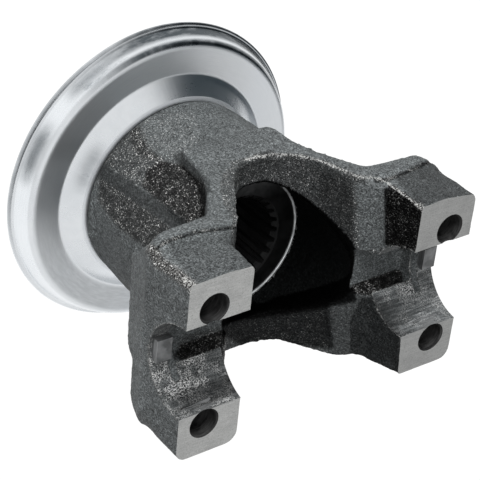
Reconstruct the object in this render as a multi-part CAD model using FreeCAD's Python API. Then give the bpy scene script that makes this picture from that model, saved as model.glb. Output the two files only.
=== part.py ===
import FreeCAD, Part
import math
import os

from FreeCAD import Vector

# Pinion yoke with a pressed-on dust shield. Millimetres.
# Frame: the hub stands on its rear end face at Z = 0, its axis is +Z.
# The ears point up, one on each side along X; the two saddles lie along X
# and the U-bolt holes run along Z. Y is across the ears.

# ---------------------------------------------------------------- dimensions
pad_height = 99.5            # rear end face to the pad faces, which hold the cup axis
cup_radius = 13.49           # half of a 26.97 mm bearing cap
bolt_pitch_y = 34.925        # U-bolt leg spacing
bolt_pitch_x = 74.5          # the two U-bolts, centre to centre
bolt_hole_radius = 4.03      # close hole for a 5/16 in bolt
bolt_rim_radius = 4.36       # its deburred rim at the pad
bolt_rim_depth = 0.45
tab_inner_x = 40.88          # retaining tabs: 81.76 mm between their inner faces
tab_outer_x = 45.2
tab_half_width = 3.3
tab_drop = 11.0              # tab top below the pads

rear_edge_radius = 1.0       # cast radius along the arms' rear edges
ear_root_z = pad_height - 17.2

slot_half_width = 6.2        # relief in the saddle bottom
slot_floor_drop = 17.2
slot_outer_x = 38.2

pocket_radius = 20.9         # round nut pocket
pocket_floor_z = pad_height - 41.3
seat_radius = 20.1           # spot-faced nut seat
seat_z = pocket_floor_z - 0.8

spline_teeth = 26            # 24/48 pitch, 30 degree pressure angle
spline_major_radius = 14.47
spline_minor_radius = 13.23
bore_chamfer_radius = 15.6

hub_radius = 28.0            # cast hub at the shield
hub_front_radius = 28.8
swell_radius = 30.9
shoulder_z = 26.4
shield_seat_radius = 26.5    # turned seat for the shield's collar
seat_end_z = 16.2
journal_radius = 23.8        # seal journal, 47.6 mm
journal_chamfer = 1.6

sheet = 1.2                  # dust shield sheet
shield_rim_radius = 46.6
shield_rim_z = 15.5

# ------------------------------------------------------------------ helpers


def unit(a):
    n = math.hypot(a[0], a[1])
    return (a[0] / n, a[1] / n)


def rounded(points, radii, closed=True):
    """Edges of a polyline whose corners are rounded: lines and tangent arcs.

    Points are 2-D. Returns a list of ('L', p, q) and ('A', p, m, q).
    """
    n = len(points)
    cut = []
    for i in range(n):
        p = points[i]
        r = radii[i]
        if (not closed and i in (0, n - 1)) or r <= 1e-6:
            cut.append((p, None, p))
            continue
        a = points[(i - 1) % n]
        b = points[(i + 1) % n]
        u = unit((a[0] - p[0], a[1] - p[1]))
        v = unit((b[0] - p[0], b[1] - p[1]))
        cosang = max(-1.0, min(1.0, u[0] * v[0] + u[1] * v[1]))
        half = math.acos(cosang) / 2.0
        t = r / math.tan(half)
        s = (p[0] + u[0] * t, p[1] + u[1] * t)
        e = (p[0] + v[0] * t, p[1] + v[1] * t)
        w = unit((u[0] + v[0], u[1] + v[1]))
        d = r / math.sin(half)
        c = (p[0] + w[0] * d, p[1] + w[1] * d)
        m = (c[0] - w[0] * r, c[1] - w[1] * r)
        cut.append((s, m, e))
    out = []
    last = n if closed else n - 1
    for i in range(n):
        s, m, e = cut[i]
        if m is not None:
            out.append(("A", s, m, e))
        if i < last:
            q = cut[(i + 1) % n][0]
            if math.hypot(q[0] - e[0], q[1] - e[1]) > 1e-5:
                out.append(("L", e, q))
    return out


def wire(segs, place):
    edges = []
    for s in segs:
        if s[0] == "L":
            edges.append(Part.LineSegment(place(s[1]), place(s[2])).toShape())
        else:
            edges.append(Part.Arc(place(s[1]), place(s[2]), place(s[3])).toShape())
    return Part.Wire(Part.__sortEdges__(edges))


def in_xz(y):
    return lambda p: Vector(p[0], y, p[1])


def in_yz(x):
    return lambda p: Vector(x, p[0], p[1])


def in_xy(z):
    return lambda p: Vector(p[0], p[1], z)


def slab_y(points, radii, y0, y1):
    """A closed X-Z outline swept from y0 to y1."""
    f = Part.Face(wire(rounded(points, radii), in_xz(y0)))
    return f.extrude(Vector(0, y1 - y0, 0))


def slab_x(points, radii, x0, x1):
    """A closed Y-Z outline swept from x0 to x1."""
    f = Part.Face(wire(rounded(points, radii), in_yz(x0)))
    return f.extrude(Vector(x1 - x0, 0, 0))


def slab_z(points, radii, z0, z1):
    """A closed X-Y outline swept from z0 to z1."""
    f = Part.Face(wire(rounded(points, radii), in_xy(z0)))
    return f.extrude(Vector(0, 0, z1 - z0))


def turned(points, radii):
    """A closed radius-Z outline turned about the Z axis."""
    f = Part.Face(wire(rounded(points, radii), in_xz(0)))
    return f.revolve(Vector(0, 0, 0), Vector(0, 0, 1), 360)


def one_solid(shape, name):
    shape = shape.removeSplitter()
    solids = shape.Solids
    assert len(solids) == 1, (name, len(solids))
    s = solids[0]
    assert s.isValid(), name
    return s


def down(w):
    return pad_height - w


# ------------------------------------------------------------- yoke: outside

# Arms and bridge, seen across Y: from the ear root round the back to the hub.
arm_right = [
    (26.6, down(12.4)),
    (31.0, down(15.6)),
    (46.2, down(15.6)),
    (45.7, down(17.6)),
    (43.2, down(20.4)),
    (38.0, down(21.3)),
    (25.4, down(22.0)),
    (21.4, down(27.6)),
    (18.9, down(32.4)),
    (16.6, down(37.0)),
    (15.2, down(42.0)),
    (15.0, down(50.8)),
]
arm_radii = [0, 0, 0, 1.0, 3.5, 40, 4.6, 40, 60, 20, 20, 3.0]
outline = arm_right + [(-p[0], p[1]) for p in reversed(arm_right)]
outline_radii = arm_radii + list(reversed(arm_radii))
arms = slab_y(outline, outline_radii, -40, 40)

# The same arms seen along X: a small step up from the ears, then rising a
# little towards the hub. The lower side is drafted and stands out further.
side = [
    (26.9, down(12.0)),
    (27.1, down(15.9)),
    (28.3, down(17.0)),
    (29.2, down(52.0)),
    (-28.9, down(52.0)),
    (-29.1, down(22.0)),
    (-28.9, down(18.0)),
    (-28.2, down(15.8)),
    (-27.3, down(14.2)),
    (-26.7, down(12.0)),
]
arms = arms.common(slab_x(side, [0] * len(side), -60, 60))


def rear_edges(shape):
    """Edges of the arms' upper and lower faces along the rear outline."""
    found = []
    for e in shape.Edges:
        mid = e.valueAt(0.5 * (e.FirstParameter + e.LastParameter))
        ends = [v.Point for v in e.Vertexes]
        if any(abs(q.y) < 28.0 for q in ends + [mid]):
            continue
        if max(q.z for q in ends + [mid]) - min(q.z for q in ends + [mid]) < 0.01 and abs(ends[0].x) + abs(ends[-1].x) > 1.0 \
                and ends[0].x * ends[-1].x < 0:
            continue
        found.append(e)
    return found


chain = [e for e in rear_edges(arms) if e.Vertexes[0].Point.y > 0]
arms = arms.makeFillet(rear_edge_radius, chain)

# Their outer corners, seen along Z.
corner_box = [
    (46.4, 29.8), (-46.4, 29.8),
    (-46.4, -24.0), (-43.6, -28.0), (-34.0, -30.6),
    (34.0, -30.6), (43.6, -28.0), (46.4, -24.0),
]
arms = arms.common(slab_z(corner_box, [8.8, 3.0, 4.0, 4.0, 12.0, 12.0, 4.0, 4.0], down(60.0), down(10.0)))

# Heel behind each ear: deeper at mid height, falling off to its two ends,
# and above it a gusset that runs back into the hub's flank.
heel_plan = [
    (20.0, down(15.2)),
    (46.1, down(15.2)),
    (44.1, down(23.4)),
    (40.0, down(26.6)),
    (20.0, down(28.0)),
]
heel_side = [
    (26.6, down(15.2)),
    (26.6, down(19.4)),
    (22.4, down(24.2)),
    (0.0, down(26.2)),
    (-21.5, down(25.6)),
    (-26.7, down(20.6)),
    (-26.7, down(15.2)),
]
gusset_plan = [
    (20.0, down(19.0)),
    (44.5, down(19.0)),
    (43.3, down(25.4)),
    (41.8, down(29.6)),
    (37.3, down(33.6)),
    (26.0, down(37.0)),
    (20.0, down(37.0)),
]
gusset_side = [
    (22.0, down(19.0)),
    (20.6, down(25.0)),
    (16.0, down(31.6)),
    (9.0, down(34.6)),
    (-5.0, down(34.0)),
    (-10.8, down(26.8)),
    (-12.6, down(19.0)),
]
heels = []
for sx in (1, -1):
    plan = [(sx * p[0], p[1]) for p in heel_plan]
    a = slab_y(plan, [0, 0, 3.4, 2.5, 0], -40, 40)
    b = slab_x(heel_side, [0, 5.0, 5.0, 0, 5.0, 5.0, 0], -60, 60)
    heels.append(a.common(b))
    plan = [(sx * p[0], p[1]) for p in gusset_plan]
    a = slab_y(plan, [0, 0, 4.0, 4.0, 6.0, 0, 0], -40, 40)
    b = slab_x(gusset_side, [0, 6.0, 7.0, 8.0, 6.0, 5.0, 0], -60, 60)
    heels.append(a.common(b))

# Ears: blocks with cast draft and unlike rounded corners. Right ear, then
# left: corners upper inner, upper middle, upper outer, lower outer, lower
# inner and a kink on the inner face, at the pads and at the root.
ear_top = {
    1: [(25.9, 27.3), (33.5, 27.9), (44.9, 26.2), (45.0, -26.8), (27.2, -26.6), (26.0, -13.0)],
    -1: [(-26.3, 26.5), (-34.0, 26.9), (-45.0, 26.5), (-45.2, -27.2), (-26.5, -27.2), (-26.5, -13.0)],
}
ear_root = {
    1: [(24.7, 27.3), (33.5, 27.9), (46.15, 26.2), (46.25, -27.0), (22.0, -27.6), (24.2, -13.0)],
    -1: [(-25.1, 26.5), (-34.0, 26.9), (-46.25, 26.5), (-46.45, -27.2), (-22.4, -27.7), (-24.2, -13.0)],
}
ear_radii = {
    1: [1.6, 20.0, 2.6, 3.4, 1.2, 0],
    -1: [1.6, 20.0, 1.6, 3.4, 3.6, 0],
}
root_radii = {
    1: [1.6, 20.0, 5.0, 4.0, 1.2, 0],
    -1: [1.6, 20.0, 1.6, 6.5, 3.6, 0],
}
ears = []
for sx in (1, -1):
    top = wire(rounded(ear_top[sx], ear_radii[sx]), in_xy(pad_height))
    root = wire(rounded(ear_root[sx], root_radii[sx]), in_xy(ear_root_z))
    ears.append(Part.makeLoft([top, root], True, True))

# Hub: cast barrel, turned seat and seal journal behind it.
hub = turned(
    [
        (0, 0),
        (journal_radius - journal_chamfer * 0.6, 0),
        (journal_radius, journal_chamfer),
        (journal_radius, seat_end_z - 1.2),
        (journal_radius + 0.9, seat_end_z),
        (shield_seat_radius - 0.5, seat_end_z),
        (shield_seat_radius, seat_end_z + 0.7),
        (shield_seat_radius, shoulder_z),
        (hub_radius - 0.5, shoulder_z),
        (hub_radius, shoulder_z + 0.8),
        (hub_front_radius, shoulder_z + 12.0),
        (hub_front_radius, down(17.5)),
        (0, down(17.5)),
    ],
    [0, 0, 0, 0.8, 0, 0, 0, 0, 0, 0.6, 60, 0, 0],
)

# Swell on the lower side, where the barrel runs into the bridge.
swell = turned(
    [
        (0, down(62.0)),
        (hub_front_radius - 0.5, down(62.0)),
        (swell_radius - 0.3, down(47.0)),
        (swell_radius, down(40.0)),
        (swell_radius, down(28.0)),
        (0, down(28.0)),
    ],
    [0, 0, 30, 30, 0, 0],
)
swell = swell.common(Part.makeBox(60, 30, 60, Vector(-30, -50, down(70.0))))

body = hub.fuse([arms, swell] + heels + ears)
body = one_solid(body, "body")

# -------------------------------------------------------------- yoke: inside

# Trough between the ears. Its section is drafted: wider and deeper at the
# upper side (+Y) than at the lower side. Points run from the right ear's
# inner face down to the bottom and up the left ear's inner face.
trough_upper_y = 29.0
trough_lower_y = -29.0
trough_upper = [
    (26.1, 0.0), (25.75, 4.0), (25.3, 8.0), (24.4, 11.6), (22.8, 14.0),
    (19.9, 17.2), (18.4, 23.2), (16.2, 28.0), (13.6, 32.0), (10.6, 35.5), (6.4, 37.7),
    (-4.6, 37.5), (-8.4, 34.0), (-11.0, 30.6), (-13.4, 26.8), (-16.0, 22.8),
    (-19.4, 17.2), (-22.6, 14.0), (-24.3, 11.6), (-25.2, 8.0), (-25.75, 4.0), (-26.1, 0.0),
]
trough_lower = [
    (26.1, 0.0), (25.4, 4.0), (24.6, 8.0), (23.5, 11.6), (22.0, 14.2),
    (19.5, 16.9), (16.9, 20.8), (14.1, 25.2), (11.7, 28.8), (8.6, 33.2), (3.4, 35.7),
    (-4.0, 35.7), (-8.8, 33.0), (-11.7, 28.8), (-14.1, 25.2), (-16.9, 20.8),
    (-19.4, 16.9), (-22.0, 14.2), (-23.5, 11.6), (-24.6, 8.0), (-25.4, 4.0), (-26.1, 0.0),
]
trough_radii = [0, 0, 12, 9, 0, 6, 14, 18, 20, 8, 7, 7, 8, 20, 22, 14, 6, 0, 9, 12, 0, 0]


def trough_wire(y):
    t = (y - trough_lower_y) / (trough_upper_y - trough_lower_y)
    pts = []
    for u, v in zip(trough_upper, trough_lower):
        pts.append((v[0] + (u[0] - v[0]) * t, down(v[1] + (u[1] - v[1]) * t)))
    pts = [(pts[0][0] + 1.3, pad_height + 6.0)] + pts + [(pts[-1][0] - 1.3, pad_height + 6.0)]
    return wire(rounded(pts, [0] + trough_radii + [0]), in_xz(y))


cutter = Part.makeLoft([trough_wire(-36.0), trough_wire(36.0)], True, True)
assert cutter.isValid()
body = body.cut(cutter)

# Round pocket down to the nut, with a cast radius at its floor.
pocket = turned(
    [
        (0, pocket_floor_z),
        (pocket_radius - 0.1, pocket_floor_z),
        (pocket_radius - 0.1, pocket_floor_z + 6.0),
        (pocket_radius + 0.1, pad_height + 5.0),
        (0, pad_height + 5.0),
    ],
    [0, 1.6, 0, 0, 0],
)
body = body.cut(pocket)

# Spot-faced nut seat.
spot = turned(
    [
        (0, seat_z),
        (seat_radius - 0.4, seat_z),
        (seat_radius + 0.2, seat_z + 0.5),
        (seat_radius + 0.4, pocket_floor_z + 0.5),
        (0, pocket_floor_z + 0.5),
    ],
    [0, 0, 0, 0, 0],
)
body = body.cut(spot)

# Internal spline, full length of the hub.
step = 2.0 * math.pi / spline_teeth
half_space_minor = 0.5 * step * 0.36
half_space_major = 0.5 * step * 0.62


def polar(r, a):
    return Vector(r * math.cos(a), r * math.sin(a), 0)


edges = []
for i in range(spline_teeth):
    c = i * step
    a0 = c - half_space_major
    a1 = c - half_space_minor
    a2 = c + half_space_minor
    a3 = c + half_space_major
    nxt = (i + 1) * step - half_space_major
    p0 = polar(spline_minor_radius, a0)
    p1 = polar(spline_major_radius, a1)
    p2 = polar(spline_major_radius, a2)
    p3 = polar(spline_minor_radius, a3)
    p4 = polar(spline_minor_radius, nxt)
    edges.append(Part.LineSegment(p0, p1).toShape())
    edges.append(Part.Arc(p1, polar(spline_major_radius, c), p2).toShape())
    edges.append(Part.LineSegment(p2, p3).toShape())
    edges.append(Part.Arc(p3, polar(spline_minor_radius, 0.5 * (a3 + nxt)), p4).toShape())
spline = Part.Face(Part.Wire(edges)).extrude(Vector(0, 0, seat_z + 2.0))
spline.translate(Vector(0, 0, -1.0))
body = body.cut(spline)

# Lead-in chamfers at both ends of the spline.
lead = 0.9
rear_lead = turned(
    [
        (0, -1.0),
        (bore_chamfer_radius, -1.0),
        (bore_chamfer_radius, 0),
        (spline_minor_radius - 0.2, (bore_chamfer_radius - spline_minor_radius + 0.2)),
        (0, (bore_chamfer_radius - spline_minor_radius + 0.2)),
    ],
    [0] * 5,
)
front_lead = turned(
    [
        (0, seat_z + 1.0),
        (spline_major_radius + 0.35, seat_z + 1.0),
        (spline_major_radius + 0.35, seat_z),
        (spline_minor_radius - 0.2, seat_z - (spline_major_radius - spline_minor_radius + 0.55) * lead),
        (0, seat_z - (spline_major_radius - spline_minor_radius + 0.55) * lead),
    ],
    [0] * 5,
)
body = body.cut([rear_lead, front_lead])

# Saddles, bored along X through both ears, leaving the retaining tabs.
saddle = Part.makeCylinder(cup_radius, 120, Vector(-60, 0, pad_height), Vector(1, 0, 0))
tabs = []
for sx in (1, -1):
    x0 = tab_inner_x if sx > 0 else -tab_outer_x
    tab = Part.makeBox(tab_outer_x - tab_inner_x, 2 * tab_half_width, 20,
                       Vector(x0, -tab_half_width, down(tab_drop) - 20))
    tabs.append(tab)
saddle = saddle.cut(tabs)
body = body.cut(saddle)

# Crescent relief inside each tab, so that a cap's edge can't foul a corner.
for sx in (1, -1):
    x0 = 38.5 if sx > 0 else -tab_inner_x
    relief = Part.makeCylinder(13.0, tab_inner_x - 38.5, Vector(x0, 0, down(0.95)), Vector(1, 0, 0))
    body = body.cut(relief)

# Relief slot along each saddle bottom, open to the trough.
for sx in (1, -1):
    pts = [
        (sx * 16.0, down(slot_floor_drop)),
        (sx * slot_outer_x, down(slot_floor_drop)),
        (sx * slot_outer_x, down(9.0)),
        (sx * 16.0, down(9.0)),
    ]
    slot = slab_y(pts, [0, 1.2, 0, 0], -slot_half_width, slot_half_width)
    body = body.cut(slot)

# U-bolt holes.
for sx in (1, -1):
    for sy in (1, -1):
        hole = Part.makeCylinder(bolt_hole_radius, 60,
                                 Vector(sx * bolt_pitch_x / 2, sy * bolt_pitch_y / 2, pad_height - 40),
                                 Vector(0, 0, 1))
        rim = Part.makeCone(bolt_hole_radius, bolt_rim_radius, bolt_rim_depth,
                            Vector(sx * bolt_pitch_x / 2, sy * bolt_pitch_y / 2, pad_height - bolt_rim_depth),
                            Vector(0, 0, 1))
        body = body.cut([hole, rim])

# One outer edge was dressed off where the gate broke away.
dress = slab_z(
    [(-47.5, 23.6), (-41.8, 29.3), (-49.0, 31.0)],
    [0, 0, 0], down(17.0), pad_height + 1.0)
body = body.cut(dress)

yoke = one_solid(body, "yoke")

# -------------------------------------------------------------- dust shield
# Sheet profile, outer face: rim flange, wall, crest, flat ring, trough, cone,
# tight fold at the hub and the collar that grips the turned seat.
mid = [
    (shield_rim_radius - sheet / 2, shield_rim_z + 0.15),
    (45.0, shield_rim_z),
    (42.6, 21.9),
    (33.6, 20.9),
    (27.1, 26.7),
    (27.1, 17.6),
]
mid_r = [0, 1.5, 1.7, 1.6, 0.95, 0]


def offset_path(points, radii, d):
    """Parallel path at distance d to the left of the direction of travel."""
    n = len(points)
    normals = []
    for i in range(n - 1):
        u = unit((points[i + 1][0] - points[i][0], points[i + 1][1] - points[i][1]))
        normals.append((-u[1], u[0]))
    out = []
    rr = []
    for i in range(n):
        if i == 0:
            k = normals[0]
            out.append((points[0][0] + k[0] * d, points[0][1] + k[1] * d))
            rr.append(0)
        elif i == n - 1:
            k = normals[-1]
            out.append((points[-1][0] + k[0] * d, points[-1][1] + k[1] * d))
            rr.append(0)
        else:
            a, b = normals[i - 1], normals[i]
            s = 1.0 + a[0] * b[0] + a[1] * b[1]
            out.append((points[i][0] + (a[0] + b[0]) * d / s, points[i][1] + (a[1] + b[1]) * d / s))
            cross = a[0] * b[1] - a[1] * b[0]
            rr.append(radii[i] - d if cross > 0 else radii[i] + d)
    return out, rr


left, left_r = offset_path(mid, mid_r, sheet / 2)
right, right_r = offset_path(mid, mid_r, -sheet / 2)
segs = rounded(left, left_r, closed=False)
back = rounded(right, right_r, closed=False)
segs.append(("L", left[-1], right[-1]))
segs += back
rim_mid = ((left[0][0] + right[0][0]) / 2, (left[0][1] + right[0][1]) / 2)
segs.append(("A", left[0], (rim_mid[0] + sheet / 2, rim_mid[1]), right[0]))
profile = Part.Face(wire(segs, in_xz(0)))
shield = profile.revolve(Vector(0, 0, 0), Vector(0, 0, 1), 360)
shield = one_solid(shield, "dust_shield")

# ------------------------------------------------------------------- output
os.makedirs("parts", exist_ok=True)
for name, shape in (("yoke", yoke), ("dust_shield", shield)):
    box = shape.optimalBoundingBox(False, False)
    print(name, "volume", round(shape.Volume, 1), "faces", len(shape.Faces),
          "box", [round(v, 2) for v in (box.XMin, box.YMin, box.ZMin, box.XMax, box.YMax, box.ZMax)])
    shape.exportStep("parts/" + name + ".step")
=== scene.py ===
import math

import bmesh
import bpy
import numpy as np
from mathutils import Matrix, Vector


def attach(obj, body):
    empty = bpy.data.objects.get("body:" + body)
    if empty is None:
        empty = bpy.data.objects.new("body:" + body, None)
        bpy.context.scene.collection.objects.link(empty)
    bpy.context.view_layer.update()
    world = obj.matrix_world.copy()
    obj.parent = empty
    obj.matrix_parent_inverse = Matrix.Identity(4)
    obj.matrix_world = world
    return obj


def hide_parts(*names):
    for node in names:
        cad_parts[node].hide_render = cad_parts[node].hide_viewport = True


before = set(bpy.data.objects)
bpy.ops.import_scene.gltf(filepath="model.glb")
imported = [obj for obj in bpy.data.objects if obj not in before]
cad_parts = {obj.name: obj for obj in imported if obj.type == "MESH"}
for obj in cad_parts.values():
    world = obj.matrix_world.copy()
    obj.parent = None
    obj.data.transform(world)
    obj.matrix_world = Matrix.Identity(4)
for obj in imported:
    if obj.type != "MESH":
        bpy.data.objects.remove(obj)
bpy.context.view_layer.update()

MM = 1000.0
PAD_Z = 99.5          # height of the machined pads, mm
BOLT_X, BOLT_Y = 37.25, 17.4625


# ------------------------------------------------------------------ noise
class Noise:
    """Seeded gradient noise on numpy arrays, about -1 to 1."""

    def __init__(self, seed):
        rng = np.random.default_rng(seed)
        self.perm = np.tile(rng.permutation(256), 3)
        g = rng.normal(size=(256, 3))
        self.grad = g / np.linalg.norm(g, axis=1)[:, None]

    def __call__(self, p):
        i = np.floor(p).astype(np.int64)
        f = p - i
        i &= 255
        u = f * f * f * (f * (f * 6 - 15) + 10)
        out = np.zeros(len(p))
        for dx in (0, 1):
            wx = u[:, 0] if dx else 1 - u[:, 0]
            a = self.perm[i[:, 0] + dx]
            for dy in (0, 1):
                wy = u[:, 1] if dy else 1 - u[:, 1]
                b = self.perm[a + i[:, 1] + dy]
                for dz in (0, 1):
                    wz = u[:, 2] if dz else 1 - u[:, 2]
                    g = self.grad[self.perm[b + i[:, 2] + dz]]
                    d = g[:, 0] * (f[:, 0] - dx) + g[:, 1] * (f[:, 1] - dy) + g[:, 2] * (f[:, 2] - dz)
                    out += wx * wy * wz * d
        return out * 1.6


def layered(seed, p, size, octaves=3, gain=0.5):
    """Sum of octaves; size is the widest feature in mm."""
    out, amp, k = 0.0, 1.0, 1.0 / size
    for o in range(octaves):
        out = out + amp * Noise(seed + 17 * o)(p * k + 3.7 * o)
        amp *= gain
        k *= 2.03
    return out


def smoothstep(a, b, x):
    t = np.clip((x - a) / (b - a), 0, 1)
    return t * t * (3 - 2 * t)


# ------------------------------------------------------- yoke: fine surface
def cylinder(radius, a, b, sides=96, axis="Z"):
    """A closed cylinder from a to b, mm, along Z or X."""
    t = np.arange(sides) / sides * 2 * math.pi
    ring = np.stack([radius * np.cos(t), radius * np.sin(t)], 1)
    a, b = np.array(a, float), np.array(b, float)
    if axis == "Z":
        off = np.c_[ring, np.zeros(sides)]
    else:
        off = np.c_[np.zeros(sides), ring]
    pts = np.r_[a + off, b + off] / MM
    n = sides
    faces = [(i, (i + 1) % n, n + (i + 1) % n, n + i) for i in range(n)]
    faces += [tuple(reversed(range(n))), tuple(range(n, 2 * n))]
    me = bpy.data.meshes.new("tool")
    me.from_pydata(pts.tolist(), [], faces)
    me.update()
    ob = bpy.data.objects.new("tool", me)
    bpy.context.scene.collection.objects.link(ob)
    return ob


def bore_tool(hx, hy):
    """Drill shape: straight hole with its deburred rim at the pad."""
    sides = 96
    t = np.arange(sides) / sides * 2 * math.pi
    levels = [(83.0, HOLE_R), (PAD_Z - RIM_DEPTH, HOLE_R), (PAD_Z - 0.1, RIM_R - 0.1), (PAD_Z, RIM_R), (104.0, RIM_R)]
    pts, faces = [], []
    for zl, rl in levels:
        pts += [((hx + rl * math.cos(a)) / MM, (hy + rl * math.sin(a)) / MM, zl / MM) for a in t]
    for k in range(len(levels) - 1):
        for i in range(sides):
            j = (i + 1) % sides
            faces.append((k * sides + i, k * sides + j, (k + 1) * sides + j, (k + 1) * sides + i))
    faces.append(tuple(reversed(range(sides))))
    faces.append(tuple(range((len(levels) - 1) * sides, len(levels) * sides)))
    me = bpy.data.meshes.new("tool")
    me.from_pydata(pts, [], faces)
    me.update()
    ob = bpy.data.objects.new("tool", me)
    bpy.context.scene.collection.objects.link(ob)
    return ob


def combine(ob, tool, how, good=None):
    """Applies one boolean to the object and removes the tool. Where good is
    given, the first way of solving that it accepts is kept."""
    for solver, tolerant in (("EXACT", False), ("EXACT", True), ("FAST", False)):
        mod = ob.modifiers.new("cut", "BOOLEAN")
        mod.operation = how
        mod.solver = solver
        if solver == "EXACT":
            mod.use_hole_tolerant = tolerant
        mod.object = tool
        dg = bpy.context.evaluated_depsgraph_get()
        me = bpy.data.meshes.new_from_object(ob.evaluated_get(dg))
        ob.modifiers.clear()
        if good is None or good(me):
            break
        print("cut solved again", solver, tolerant)
    old = ob.data
    ob.data = me
    bpy.data.meshes.remove(old)
    bpy.data.objects.remove(tool)


HOLES = [(sx * BOLT_X, sy * BOLT_Y) for sx in (1, -1) for sy in (1, -1)]
HOLE_R, RIM_R, RIM_DEPTH = 3.94, 4.36, 0.45


def fine_copy(node, depth, scale):
    me = node.data.copy()
    bm = bmesh.new()
    bm.from_mesh(me)
    bmesh.ops.remove_doubles(bm, verts=bm.verts, dist=1e-6)
    bm.to_mesh(me)
    bm.free()
    ob = bpy.data.objects.new("fine", me)
    bpy.context.scene.collection.objects.link(ob)
    # The bolt holes are closed here and bored again, crisp, at the end.
    for hx, hy in HOLES:
        plug = cylinder(RIM_R + 0.03, (hx, hy, 84.0), (hx, hy, PAD_Z))
        combine(plug, cylinder(13.49, (hx - 9, 0, PAD_Z), (hx + 9, 0, PAD_Z), 256, "X"), "DIFFERENCE")
        combine(ob, plug, "UNION")
    mod = ob.modifiers.new("fine", "REMESH")
    mod.mode = "SHARP"
    mod.octree_depth = depth
    mod.scale = scale
    mod.sharpness = 1.0
    mod.use_remove_disconnected = False
    dg = bpy.context.evaluated_depsgraph_get()
    out = bpy.data.meshes.new_from_object(ob.evaluated_get(dg))
    bpy.data.objects.remove(ob)
    return out


def get(me, coll, name, width, kind=np.float32):
    a = np.zeros(len(coll) * width, kind)
    coll.foreach_get(name, a)
    return a.reshape(-1, width) if width > 1 else a


work = fine_copy(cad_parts["yoke"], 8, 0.9)
NV, NF = len(work.vertices), len(work.polygons)
co = get(work, work.vertices, "co", 3).astype(float) * MM
edges = get(work, work.edges, "vertices", 2, np.int32).astype(np.int64)
loops = get(work, work.loops, "vertex_index", 1, np.int32).astype(np.int64)
lstart = get(work, work.polygons, "loop_start", 1, np.int32).astype(np.int64)
ltotal = get(work, work.polygons, "loop_total", 1, np.int32).astype(np.int64)
face_of_loop = np.repeat(np.arange(NF), ltotal)
fc = np.stack([np.bincount(face_of_loop, co[loops, k], NF) for k in range(3)], 1) / ltotal[:, None]
fn = get(work, work.polygons, "normal", 3).astype(float)


def vert_normals(p):
    """Area-weighted vertex normals of the quad mesh at positions p."""
    q = loops[lstart[:, None] + np.minimum(np.arange(4)[None, :], ltotal[:, None] - 1)]
    n = np.cross(p[q[:, 2]] - p[q[:, 0]], p[q[:, 3]] - p[q[:, 1]])
    n = np.where((ltotal == 3)[:, None], np.cross(p[q[:, 1]] - p[q[:, 0]], p[q[:, 2]] - p[q[:, 0]]), n)
    out = np.stack([np.bincount(loops, n[face_of_loop, k], NV) for k in range(3)], 1)
    return out / np.maximum(np.linalg.norm(out, axis=1), 1e-12)[:, None]


deg = np.bincount(edges.ravel(), minlength=NV).astype(float)


def spread(x):
    """Mean of each vertex's neighbours."""
    if x.ndim == 1:
        return (np.bincount(edges[:, 0], x[edges[:, 1]], NV) + np.bincount(edges[:, 1], x[edges[:, 0]], NV)) / deg
    return np.stack([spread(x[:, k]) for k in range(x.shape[1])], 1)


def on_verts(face_mask):
    """Vertices that touch a face of the mask."""
    return np.bincount(loops, face_mask[face_of_loop].astype(float), NV) > 0


# Kinds of surface, found from where a face lies on the object.
CAST, PAD, SADDLE, BORED = 0, 1, 2, 3
ax, ay = np.abs(fc[:, 0]), np.abs(fc[:, 1])
rad = np.hypot(fc[:, 0], fc[:, 1])
dist = np.hypot(fc[:, 1], fc[:, 2] - PAD_Z)
toward = -(fc[:, 1] * fn[:, 1] + (fc[:, 2] - PAD_Z) * fn[:, 2]) / np.maximum(dist, 1e-9)
kind = np.zeros(NF, int)
kind[(fc[:, 2] > PAD_Z - 0.06) & (fn[:, 2] > 0.97)] = PAD
kind[(np.abs(dist - 13.48) < 0.14) & (toward > 0.93) & (ax > 21) & (fc[:, 2] < PAD_Z)] = SADDLE
in_cup = (dist < 13.45) & (ax > 38.3) & (fc[:, 2] < PAD_Z - 8)
kind[in_cup & (kind == CAST)] = BORED
hole = np.hypot(ax - BOLT_X, ay - BOLT_Y)
kind[(hole < 4.5) & (np.abs(fn[:, 2]) < 0.5)] = BORED
kind[(rad < 20.75) & (fc[:, 2] < 58.15)] = BORED
kind[(fc[:, 2] < 14.9) | ((fc[:, 2] < 25.5) & (rad < 27.0))] = BORED

v_bored = on_verts(kind == BORED)
v_pad = on_verts(kind == PAD)
v_saddle = on_verts(kind == SADDLE)
v_cast = on_verts(kind == CAST)
pinned = v_bored | v_saddle
free = (~pinned & ~v_pad).astype(float)

# Sharp edges between two cast faces, before the casting's edges are eased.
vn0 = vert_normals(co)
nl = fn[face_of_loop]
d = (nl * vn0[loops]).sum(1)
low = np.full(NV, 1.0)
np.minimum.at(low, loops, d)
crease = ((low < 0.94) & v_cast & ~v_bored).astype(float)

# Ease the cast edges.
p = co.copy()
free *= smoothstep(26.9, 29.5, co[:, 2])
for step in range(12):
    p += (0.5 * free)[:, None] * (spread(p) - p)
# The heels run out into the ears' corners without a ledge.
corner = smoothstep(40.5, 43.0, np.abs(co[:, 0])) * smoothstep(20.5, 23.0, np.abs(co[:, 1]))
corner *= smoothstep(75.0, 79.0, co[:, 2]) * (1 - smoothstep(88.0, 91.0, co[:, 2])) * free
for step in range(70):
    p += (0.6 * corner)[:, None] * (spread(p) - p)
# Pads keep their height, and their outline is eased in plan.
padedge = v_pad & v_cast & ~pinned
for step in range(4):
    m = spread(p)
    p[padedge, :2] += 0.25 * (m[padedge, :2] - p[padedge, :2])

vn = vert_normals(p)
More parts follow.
